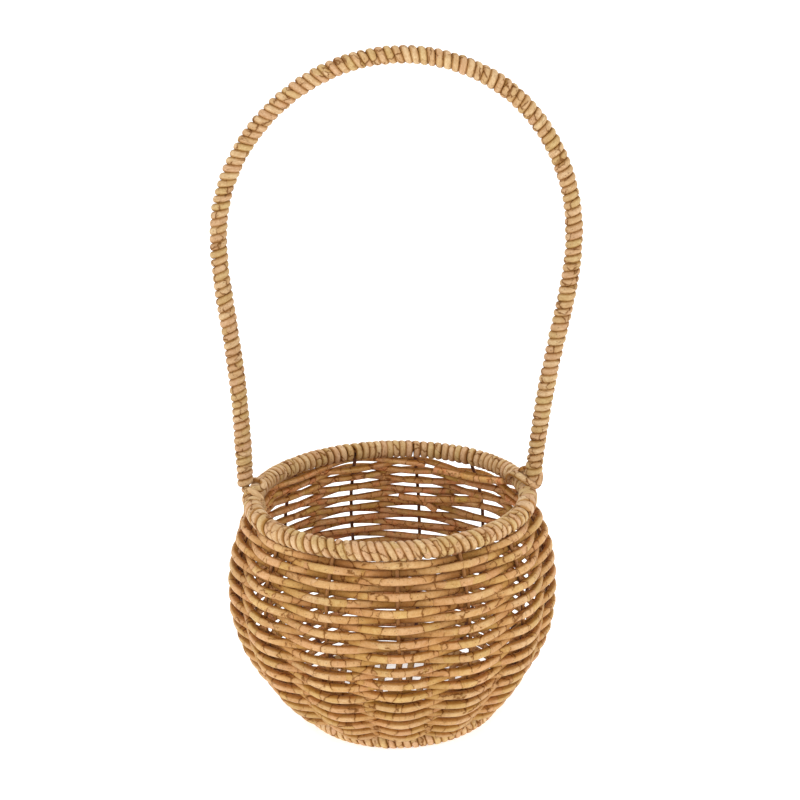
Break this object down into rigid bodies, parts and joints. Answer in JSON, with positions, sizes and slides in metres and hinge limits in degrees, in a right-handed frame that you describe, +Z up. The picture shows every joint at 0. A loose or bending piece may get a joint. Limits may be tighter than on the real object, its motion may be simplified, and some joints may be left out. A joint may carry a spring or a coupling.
{
  "type": "woven basket",
  "caption": "Round-bellied open basket of plain-woven paper cord on an iron wire frame, with a wrapped rim and base ring and a tall fixed arch handle wound with cord.",
  "frame": {"origin": "on the surface that the basket stands on, under the middle of its overall width and depth; the bowl's axis is 7 mm towards -X of it, because the handle leans to +X", "axes": "+Z up; the handle's arch lies in a plane parallel to XZ; -Y is the front that faces the viewer"},
  "size_m": [0.1941, 0.1799, 0.3631],
  "materials": {
    "wall_cord": "matte twisted paper cord, tan with yellow-green and pinkish patches and fine dark cracks",
    "winding_cord": "matte twisted paper cord, light tan with fine dark cracks",
    "iron_wire": "dark brown lacquered iron wire, satin"
  },
  "bodies": {
    "root": {"base_hoop": "iron_wire", "base_wrap": "winding_cord", "floor_cord": "wall_cord", "floor_wire_1": "iron_wire", "floor_wire_2": "iron_wire", "floor_wire_3": "iron_wire", "floor_wire_4": "iron_wire", "handle_core": "iron_wire", "handle_wrap": "winding_cord", "lashing_left": "winding_cord", "lashing_right": "winding_cord", "rim_hoop": "iron_wire", "rim_wrap_back": "winding_cord", "rim_wrap_front": "winding_cord", "stake_01": "iron_wire", "stake_02": "iron_wire", "stake_03": "iron_wire", "stake_04": "iron_wire", "stake_05": "iron_wire", "stake_06": "iron_wire", "stake_07": "iron_wire", "stake_08": "iron_wire", "stake_09": "iron_wire", "stake_10": "iron_wire", "stake_11": "iron_wire", "stake_12": "iron_wire", "stake_13": "iron_wire", "wall_cord_01": "wall_cord", "wall_cord_02": "wall_cord", "wall_cord_03": "wall_cord", "wall_cord_04": "wall_cord", "wall_cord_05": "wall_cord", "wall_cord_06": "wall_cord", "wall_cord_07": "wall_cord", "wall_cord_08": "wall_cord", "wall_cord_09": "wall_cord", "wall_cord_10": "wall_cord", "wall_cord_11": "wall_cord", "wall_cord_12": "wall_cord", "wall_cord_13": "wall_cord", "wall_cord_14": "wall_cord", "wall_cord_15": "wall_cord"}
  },
  "joints": []
}
